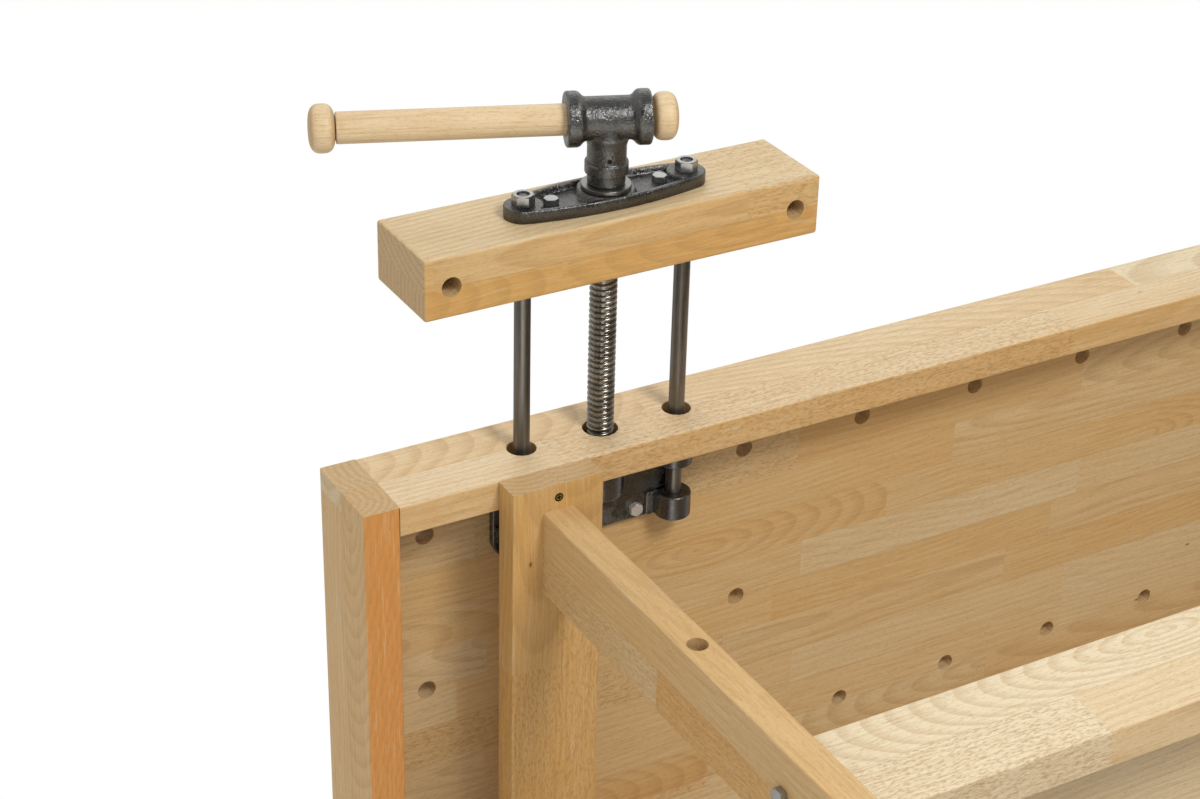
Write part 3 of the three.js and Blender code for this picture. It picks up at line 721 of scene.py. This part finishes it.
# boards: way of the grain and way the staves are glued, stave size, seed and tone
creamy = (0.720, 0.610, 0.425, 1)
boards = {
    "top_panel": {"axes": "xy", "stave": (0.047, 0.38), "seed": 24.0, "tone": 0.04, "spread": 0.42},
    "front_apron": {"axes": "xz", "stave": (0.0515, 0.62), "seed": 2.0, "tone": -0.32, "paintedDownShade": 0.50,
                    "pale": creamy},
    "rear_apron": {"axes": "xz", "stave": (0.0515, 0.62), "seed": 3.0, "tone": -0.15, "paintedDownShade": 0.45},
    "left_end_cap": {"axes": "yz", "stave": (0.0515, 0.60), "seed": 4.0, "tone": -0.05, "paintedDownShade": 1.4},
    "right_end_cap": {"axes": "yz", "stave": (0.0515, 0.60), "seed": 5.0, "tone": 0.0, "paintedDownShade": 0.60},
    "left_bearer": {"axes": "yx", "stave": (0.049, 0.34), "seed": 26.0, "tone": 0.34, "spread": 0.4},
    "right_bearer": {"axes": "yx", "stave": (0.049, 0.34), "seed": 7.0, "tone": 0.30},
    "left_foot": {"axes": "yx", "stave": (0.049, 0.45), "seed": 8.0, "tone": 0.10},
    "right_foot": {"axes": "yx", "stave": (0.049, 0.45), "seed": 9.0, "tone": 0.10},
    "left_front_leg": {"axes": "zy", "stave": (0.046, 0.42), "seed": 10.0, "tone": 0.40},
    "left_rear_leg": {"axes": "zy", "stave": (0.046, 0.42), "seed": 11.0, "tone": 0.15},
    "right_front_leg": {"axes": "zy", "stave": (0.046, 0.42), "seed": 12.0, "tone": 0.08},
    "right_rear_leg": {"axes": "zy", "stave": (0.046, 0.42), "seed": 13.0, "tone": 0.08},
    "front_stretcher": {"axes": "xz", "stave": (0.0585, 0.70), "seed": 549.9, "tone": -0.40, "paintedDownShade": 0.28,
                        "pale": creamy},
    "rear_stretcher": {"axes": "xz", "stave": (0.0585, 0.70), "seed": 15.0, "tone": -0.20},
    "lower_shelf": {"axes": "xy", "stave": (0.104, 0.90), "seed": 70.0, "tone": -0.20, "spread": 0.2,
                    "pale": creamy},
    "front_vise_jaw": {"axes": "xy", "stave": (0.0320, 0.33), "seed": 41.0, "tone": -0.28, "spread": 0.7,
                       "paintedDownShade": 0.58},
    "tail_vise_jaw": {"axes": "yx", "stave": (0.0320, 0.33), "seed": 17.0, "tone": 0.05, "spread": 0.9},
}


def dressNode(node, finish):
    nodes[node].data.materials.clear()
    nodes[node].data.materials.append(finish)


def dressBoards():
    for node, spec in boards.items():
        along, across = (axes[letter] for letter in spec["axes"])
        figure = {key: value for key, value in spec.items() if key != "axes"}
        low, high = reachOf(node, np.abs(np.cross(along, across)))
        pith = (high - low) / 2 + beech["pithDepth"]
        dressNode(node, beechFinish(node + "_beech", middleOf(node), pith, along, across, **figure))
    print("boards dressed:", len(boards))


# metal bits that keep their own shape
def dressFasteners(zinc, bright, steel):
    kept = [node for node in nodes if "bolt" in node or "nut" in node]
    for node in kept:
        # the guide's bolts take the lighter copy of zinc: painted light on their faces
        dressNode(node, bright if "casting_bolt" in node else zinc)
    for vise in vises:
        for bit in ("retaining_collar", "cross_pin"):
            dressNode(f"{vise}_{bit}", steel)
    print("fasteners dressed:", len(kept))


screwShape = {
    "pitch": 6.0, "crest": 13.4, "root": 10.9, "threadEnd": 317.0, "inset": 0.6,
    "core": 10.95, "chamferIn": 1.5, "chamferLong": 2.0, "coreShort": 2.0,
    "shank": 11.0, "shankShort": 1.0, "edge": 0.5, "wear": 0.6,
}


def makeScrew(vise, finish):
    node = f"{vise}_screw"
    outward = vises[vise]["outward"]
    inner, outer = reachOf(node, outward)
    shape = screwShape
    base = pointAt(node, outward, inner + shape["inset"] * mm)
    threadEnd = shape["threadEnd"]
    thread = threadShell(threadEnd, shape["pitch"], shape["crest"], shape["root"], base, outward, up)
    # the end face and the plain shank that runs on through jaw and head
    core, shank, short = shape["core"], shape["shank"], shape["shankShort"]
    whole = (outer - inner) / mm - short
    line, wear = roundedLine([
        (0, 0), (core - shape["chamferIn"], 0), (core, shape["chamferLong"]),
        (core, threadEnd - shape["coreShort"]), (shank, threadEnd - short), (shank, whole), (0, whole),
    ], shape["edge"])
    wear = np.full(len(line), shape["wear"])
    plain = turnedShell(line, wear, pointAt(node, outward, inner), outward, up, sides=60)
    putPiece(f"{vise}_threaded_screw", gathered([thread, plain]), finish, node)


rodShape = {"chamfer": 1.5, "stub": 5.9, "stubLong": 21.4, "stubChamfer": 0.8, "edge": 0.4}


def makeRods(vise, finish):
    outward = vises[vise]["outward"]
    for number in (1, 2):
        node = f"{vise}_guide_rod_{number}"
        radius = radiusOf(node)
        inner, outer = reachOf(node, outward)
        length = (outer - inner) / mm
        shoulder = length - rodShape["stubLong"]
        stub, chamfer, stubChamfer = rodShape["stub"], rodShape["chamfer"], rodShape["stubChamfer"]
        line, wear = roundedLine([
            (0, 0), (radius - chamfer, 0), (radius, chamfer), (radius, shoulder), (stub, shoulder),
            (stub, length - stubChamfer), (stub - stubChamfer, length), (0, length),
        ], rodShape["edge"])
        shell = turnedShell(line, wear, pointAt(node, outward, inner), outward, up, sides=64)
        putPiece(f"{vise}_smooth_rod_{number}", shell, finish, node)


washerShape = {"bore": 11.4, "edge": 0.9}


def makeWasher(vise, finish):
    node = f"{vise}_thrust_washer"
    outward = vises[vise]["outward"]
    radius, bore = radiusOf(node), washerShape["bore"]
    inner, outer = reachOf(node, outward)
    thick = (outer - inner) / mm
    corners = [(bore, 0), (radius, 0), (radius, thick), (bore, thick)]
    line, wear = roundedLine(corners, washerShape["edge"], closed=True)
    shell = turnedShell(line, wear, pointAt(node, outward, inner), outward, up, closed=True)
    putPiece(f"{vise}_turned_washer", shell, finish, node)


# the bar's line, from the knob by the head to the far knob
def handleLine(vise):
    near = middleOf(f"{vise}_handle_knob_near")
    far = middleOf(f"{vise}_handle_knob_far")
    return near, far, (far - near) / np.linalg.norm(far - near)


headShape = {
    "neck": 18.0, "neckLength": 11.0,
    "band": 20.6, "bandLength": 11.0, "bandSlope": 1.5,
    "stem": 18.5, "flare": 21.5, "flareRise": 5.0, "flareIn": 3.0, "stemEdge": 2.2,
    "tube": 20.5, "collar": 26.0, "tubeLength": 79.0, "collarWidth": 12.0, "collarSlope": 5.0,
    "bore": 15.15, "tubeEdge": 2.6,
    "pinRadius": 2.4, "pinRise": 6.0, "pinEdge": 0.2, "pinRimLightness": 0.9,
    # profile of a pin end, measured from the pin's radius and the face of the stem
    "pinEnd": ((-2.4, 0.05), (0.0, 0.05), (0.2, 0.35), (0.9, 0.25), (1.1, -1.2), (-2.4, -1.2)),
}


def makeHead(vise, finish, pinFinish):
    node = f"{vise}_cross_head"
    outward = vises[vise]["outward"]
    barWay = handleLine(vise)[2]
    inner, outer = reachOf(node, outward)
    base = pointAt(f"{vise}_screw", outward, inner)
    shape = headShape
    height = (outer - inner) / mm - shape["collar"]
    neck, band, stem, flare = shape["neck"], shape["band"], shape["stem"], shape["flare"]
    bandLow = shape["neckLength"]
    bandHigh = bandLow + shape["bandLength"]
    root = height - shape["tube"]
    line, wear = roundedLine([
        (0, 0), (neck, 0), (neck, bandLow), (band, bandLow), (band, bandHigh),
        (stem, bandHigh + shape["bandSlope"]), (stem, root - shape["flareRise"]),
        (flare, root + shape["flareRise"]), (flare - shape["flareIn"], height), (0, height),
    ], shape["stemEdge"])
    stemShell = turnedShell(line, wear, base, outward, up)

    tube, collar, bore = shape["tube"], shape["collar"], shape["bore"]
    half = shape["tubeLength"] / 2
    inside = half - shape["collarWidth"]
    straight = inside - shape["collarSlope"]
    line, wear = roundedLine([
        (bore, -half), (collar, -half), (collar, -inside), (tube, -straight), (tube, straight),
        (collar, inside), (collar, half), (bore, half),
    ], shape["tubeEdge"], closed=True)
    tubeShell = turnedShell(line, wear, base + outward * height * mm, barWay, outward, closed=True)
    putPiece(f"{vise}_cast_head", gathered([stemShell, tubeShell]), finish, node)

    # a pin end on both sides of the stem: a thin disc with a lip, dark within the pin's radius as painted
    # shade of a drilled hole, with the steel rim round it in its own grey
    pinWay = np.cross(outward, barWay)
    pinBase = base + outward * (bandHigh + shape["pinRise"]) * mm
    radius = shape["pinRadius"]
    line = roundedLine(np.array(shape["pinEnd"]) + (radius, stem), shape["pinEdge"], steps=3)[0]
    # painted shade: nought wear inside the pin's radius leaves the hole dark
    wear = (line[:, 0] > radius) * shape["pinRimLightness"]
    ends = [turnedShell(line, wear, pinBase, pinWay * side, outward, sides=32) for side in (-1, 1)]
    putPiece(f"{vise}_painted_pin_holes", gathered(ends), pinFinish, node, replaces=False)


handleShape = {
    "bar": 14.75, "barCut": 0.6, "barCutLong": 1.0, "edge": 0.3,
    "knob": 22.5, "knobWidth": 25.0, "knobPower": 3.0, "knobRows": 49,
    "pith": 0.066, "firstSeed": 31.0,
}
handleWood = {
    "stave": (0.30, 2.0), "tone": -0.20, "spread": 0.2, "pale": creamy, "flecks": 0.5, "rings": 0.25,
}


# bar: a plain turning; knob: a superellipse, the powers of radius and height shares add up to one
def makeHandle(vise, number):
    near, far, barWay = handleLine(vise)
    middle = (near + far) / 2
    outward = vises[vise]["outward"]
    shape = handleShape
    finish = beechFinish(f"{vise}_handle_wood", middle, shape["pith"], barWay, outward,
                         seed=shape["firstSeed"] + number, **handleWood)
    half = np.linalg.norm(far - near) / 2 / mm - shape["knobWidth"] / 2
    bar, cut, straight = shape["bar"], shape["barCut"], half - shape["barCutLong"]
    line, wear = roundedLine([
        (0, -half), (bar - cut, -half), (bar, -straight), (bar, straight), (bar - cut, half), (0, half),
    ], shape["edge"])
    shell = turnedShell(line, wear, middle, barWay, outward)
    putPiece(f"{vise}_turned_bar", shell, finish, f"{vise}_handle_bar")

    turn = np.linspace(-np.pi / 2, np.pi / 2, shape["knobRows"])
    power = 2 / shape["knobPower"]
    radius = shape["knob"] * np.abs(np.cos(turn)) ** power
    height = shape["knobWidth"] / 2 * np.sign(turn) * np.abs(np.sin(turn)) ** power
    radius[[0, -1]] = 0
    line = np.stack([radius, height], axis=1)
    for end, centre in (("near", near), ("far", far)):
        shell = turnedShell(line, radius * 0, centre, barWay, outward)
        putPiece(f"{vise}_turned_knob_{end}", shell, finish, f"{vise}_handle_knob_{end}")


plateShape = {
    "endRadius": 18.5, "half": 28.5, "rim": 4.2, "pocket": 6.0, "boss": 27.0, "pad": 18.5,
    "slope": 2.2, "edge": 1.4, "rows": 260, "columns": 90,
    "rimWear": (0.3, 1.0, 0.6), "pocketWear": (0.4, 0.2, 0.8),  # strength, distance and width
}


# wear in a soft line: strength times e to minus the square of (distance off the line over its width)
def wearLine(away, strength, distance, width):
    return strength * np.exp(-((away - distance) / width) ** 2)


# the jaw plate: across its length runs a strip whose half width is that of the bowed outline;
# its height falls from rim, centre boss and end pads to the pocket floor in smooth steps
def makePlate(vise, finish):
    node = f"{vise}_jaw_plate"
    outward, across = vises[vise]["outward"], vises[vise]["across"]
    back, face = reachOf(node, outward)
    left, right = reachOf(node, across)
    shape = plateShape
    thick = (face - back) / mm
    end, half = shape["endRadius"], shape["half"]
    padX = (right - left) / 2 / mm - end
    bow = (padX ** 2 + half ** 2 - end ** 2) / (2 * (half - end))
    joinX = padX + end * math.cos(math.atan2(bow - half, padX))
    x = (padX + end) * np.sin(np.linspace(-np.pi / 2, np.pi / 2, shape["rows"]))
    beyond = np.clip(np.abs(x) - padX, 0, end)
    roundEnd = np.sqrt(np.maximum(end ** 2 - beyond ** 2, 0))
    bowed = np.sqrt(np.maximum(bow ** 2 - x ** 2, 0)) + half - bow
    wide = np.where(np.abs(x) > joinX, roundEnd, bowed)
    z = wide[:, None] * np.linspace(-1, 1, shape["columns"])[None, :]
    xs = np.broadcast_to(x[:, None], z.shape)
    # distance to the outline, taken square to the bow or from the end's centre
    toBow = bow - np.hypot(xs, np.abs(z) + bow - half)
    fromPad = np.hypot(np.abs(xs) - padX, z)
    toRim = np.where(np.abs(xs) > joinX, end - fromPad, toBow)
    toBoss = np.hypot(xs, z) - shape["boss"]
    fall = np.minimum(np.minimum(toRim - shape["rim"], toBoss), fromPad - shape["pad"])
    sunk = np.clip(fall / shape["slope"], 0, 1)
    sunk = sunk * sunk * (3 - 2 * sunk)
    edgeShare = np.clip(1 - toRim / shape["edge"], 0, 1)
    height = thick - shape["pocket"] * sunk - shape["edge"] * (1 - np.sqrt(1 - edgeShare ** 2))
    wear = wearLine(toRim, *shape["rimWear"]) + wearLine(fall, *shape["pocketWear"])
    # side walls: two more lines at each edge, down to the jaw
    z = np.concatenate([z[:, :1] * 0, z[:, :1], z, z[:, -1:], z[:, -1:] * 0], axis=1)
    xs = np.concatenate([xs[:, :1], xs[:, :1], xs, xs[:, -1:], xs[:, -1:]], axis=1)
    height = np.pad(height, ((0, 0), (2, 2)))
    wear = np.pad(np.clip(wear, 0, 1), ((0, 0), (2, 2)))
    base = pointAt(node, outward, back)
    points = base + mm * (xs[..., None] * across + z[..., None] * up + height[..., None] * outward)
    numbers = np.arange(z.size).reshape(z.shape)
    numbers[:, -1] = numbers[:, 0]
    shell = points.reshape(-1, 3), gridFaces(numbers), wear
    putPiece(f"{vise}_cast_plate", shell, finish, node)


castingShape = {
    "plateThick": 7.0, "plateReach": 90.0, "wingReach": 112.5, "plateLong": 91.8, "plateEdge": 1.5,
    "plateCorner": 4.0, "cornerWide": 7.0, "cornerLong": 13.5, "channel": 18.0,
    "rodSpacing": 174.0, "bush": 18.5, "bushBore": 8.5, "nearBush": 28.8, "gap": 34.0, "farBush": 26.5,
    "footWide": 27.5, "footThick": 12.0, "footCorner": 3.0,
    "boss": 25.0, "bossBore": 14.0, "bossLong": 39.3,
    "edge": 2.0, "edgeSteps": 6, "topInset": 1.6, "wear": 0.7,
}


# a bush: the profile (share of the wall, place along the axis) runs round a D, whose radius is
# the round one or, towards the panel, the distance to the flat seat over the cosine of the angle
def bushShell(radius, bore, seat, start, length, centre, outward, across, sides=96):
    corners = [(bore, 0), (radius, 0), (radius, length), (bore, length)]
    line, wear = roundedLine(corners, castingShape["edge"], closed=True)
    wallShare = (line[:, 0] - bore) / (radius - bore)
    angle = np.linspace(0, 2 * np.pi, sides, endpoint=False)
    outer = np.minimum(radius, seat / np.maximum(np.cos(angle), 1e-6))
    reach = bore + wallShare[:, None] * (outer[None, :] - bore)
    around = np.cos(angle)[:, None] * up + np.sin(angle)[:, None] * across
    places = centre - (start + line[:, 1, None, None]) * mm * outward
    points = places + reach[..., None] * mm * around[None]
    faces = gridFaces(gridNumbers(*reach.shape, ring=True))
    return points.reshape(-1, 3), faces, np.repeat(wear, sides) * castingShape["wear"]


# a plate with round corners: rings of its outline, which step in along the outline's own normals as
# the edge rounds over; the first and the last ring close in a point inside the outline
def slabShell(corners, corner, thick, centre, across, along, rise):
    edge, steps = castingShape["plateEdge"], castingShape["edgeSteps"]
    line = roundedLine(corners, corner, steps=steps, closed=True)[0]
    tangent = np.roll(line, -1, axis=0) - np.roll(line, 1, axis=0)
    normal = np.stack([tangent[:, 1], -tangent[:, 0]], axis=1)
    normal = normal / np.linalg.norm(tangent, axis=1, keepdims=True)
    bend = np.linspace(0, np.pi / 2, steps)
    insets = np.concatenate([[0.0], edge * (1 - np.cos(bend)), [edge * castingShape["topInset"]]])
    heights = np.concatenate([[0.0, 0.0], thick - edge + edge * np.sin(bend), [thick, thick]])
    rings = line[None] - insets[:, None, None] * normal[None]
    pole = np.broadcast_to(line.mean(axis=0), rings[:1].shape)
    rings = np.concatenate([pole, rings, pole])
    points = centre + mm * (rings[..., :1] * across + rings[..., 1:] * along + heights[:, None, None] * rise)
    faces = gridFaces(gridNumbers(*rings.shape[:2], firstPole=True, lastPole=True))
    wear = np.pad(np.where(insets > 0, castingShape["wear"], 0.0), 1)
    return points.reshape(-1, 3), faces, np.repeat(wear, len(line))


def makeCasting(vise, finish):
    node = f"{vise}_guide_casting"
    outward, across = vises[vise]["outward"], vises[vise]["across"]
    start = pointAt(f"{vise}_screw", outward, reachOf(node, outward)[1])
    seat = (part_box(node)[1].z - start[2]) / mm
    panel = start + up * seat * mm
    shape = castingShape
    boss, bossBore, bush, bore = shape["boss"], shape["bossBore"], shape["bush"], shape["bushBore"]
    shells = [bushShell(boss, bossBore, seat, 0.0, shape["bossLong"], start, outward, across)]
    farStart = shape["nearBush"] + shape["gap"]
    footCorner, footThick = shape["footCorner"], shape["footThick"]
    for side in (-0.5, 0.5):
        centre = start + across * side * shape["rodSpacing"] * mm
        footX = side * (shape["rodSpacing"] - shape["footWide"])
        for begin, length in ((0.0, shape["nearBush"]), (farStart, shape["farBush"])):
            shells.append(bushShell(bush, bore, seat, begin, length, centre, outward, across))
            foot = panel + across * footX * mm - outward * (begin + length / 2) * mm
            corners = np.array([shape["footWide"], length]) / 2 * [(-1, 1), (-1, -1), (1, -1), (1, 1)]
            shells.append(slabShell(corners, footCorner, footThick, foot, across, outward, -up))
    # the plate reaches further on one side, with a corner cut off there; a channel in it clears the screw
    wing, reach, long = shape["wingReach"], shape["plateReach"], shape["plateLong"]
    clear, thick = shape["channel"] / 2, shape["plateThick"]
    wingSide = [(-wing, 0), (-wing, shape["cornerLong"] - long), (shape["cornerWide"] - wing, -long),
                (-clear, -long), (-clear, 0)]
    otherSide = [(clear, 0), (clear, -long), (reach, -long), (reach, 0)]
    web = [(-clear - thick, 0), (-clear - thick, -long), (clear + thick, -long), (clear + thick, 0)]
    for corners, depth in ((wingSide, thick), (otherSide, thick), (web, seat - bossBore)):
        shells.append(slabShell(corners, shape["plateCorner"], depth, panel, across, outward, -up))
    putPiece(f"{vise}_cast_guide", gathered(shells), finish, node)


bearerScrew = {
    "hole": 4.5, "head": 3.2, "slot": 0.7, "slotLong": 2.3, "proud": 0.2, "deep": 2.0, "inset": 14.0,
    "rows": 28, "columns": 72, "wear": 0.9,
}


# a screw seen in its hole at both ends of each bearer: a thin disc, whose wear is nought in the ring
# round the head and in the cross cut into it, so that both are dark: painted shade of the hole and of
# the cross recess, which the flat disc does not have
def makeBearerScrews(finish):
    shape = bearerScrew
    radius = np.linspace(0, shape["hole"], shape["rows"])[:, None]
    angle = np.linspace(0, 2 * np.pi, shape["columns"], endpoint=False)[None, :]
    x, y = radius * np.cos(angle), radius * np.sin(angle)
    short, long = np.minimum(np.abs(x), np.abs(y)), np.maximum(np.abs(x), np.abs(y))
    cross = (short < shape["slot"]) & (long < shape["slotLong"])
    # painted shade: the ring round the head and the cross get no wear and stay dark
    wear = np.where((radius < shape["head"]) & ~cross, shape["wear"], 0.0)
    wear = np.pad(wear, ((0, 2), (0, 0)))
    face = np.stack([x, y, 0 * x - shape["proud"]], axis=-1)
    back = np.stack([x[[-1, 0]], y[[-1, 0]], 0 * x[:2] + shape["deep"]], axis=-1)
    grid = np.concatenate([face, back])
    faces = gridFaces(gridNumbers(*wear.shape, firstPole=True, lastPole=True))
    inset = shape["inset"] * mm
    for node in ("left_bearer", "right_bearer"):
        low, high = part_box(node)
        for end, place in (("front", low.y + inset), ("rear", high.y - inset)):
            points = np.array([(low.x + high.x) / 2, place, low.z]) + grid * mm
            shell = points.reshape(-1, 3), faces, wear
            putPiece(f"{node}_{end}_screw", shell, finish, node, replaces=False)


setCamera()
setLight()
setFloor()
print("camera, light and floor set")

dressBoards()
roughCast, smoothCast = 1.0, 0.22
lacquer = ironFinish("black_lacquer", roughCast)
smoothLacquer = ironFinish("smooth_lacquer", smoothCast)
zincPlate = metalFinish("zinc_plate", "zinc")
zincPaintedLit = metalFinish("zinc_painted_light", "bolt")
washerSteel = metalFinish("washer_steel", "washer")
barePin = metalFinish("pin_steel", "pin", wearAndShadePower=0.95)
brassy = metalFinish("brassy_screw", "brassy", wearAndShadePower=0.95)
dressFasteners(zincPlate, zincPaintedLit, barePin)

for number, vise in enumerate(vises):
    rodSteel = metalFinish(f"{vise}_drawn_steel", "rod", along=vises[vise]["outward"])
    # the thread: crests lighter and roots darker, rubbed wear with painted highlight and painted shade
    threadSteel = metalFinish(f"{vise}_thread_steel", "screw", wearAndShadePower=0.85)
    makeScrew(vise, threadSteel)
    makeRods(vise, rodSteel)
    makeWasher(vise, washerSteel)
    makeHead(vise, lacquer, barePin)
    makeHandle(vise, number)
    makePlate(vise, lacquer)
    makeCasting(vise, smoothLacquer)
    print(vise, "dressed")
makeBearerScrews(brassy)
print("bearer screws set")
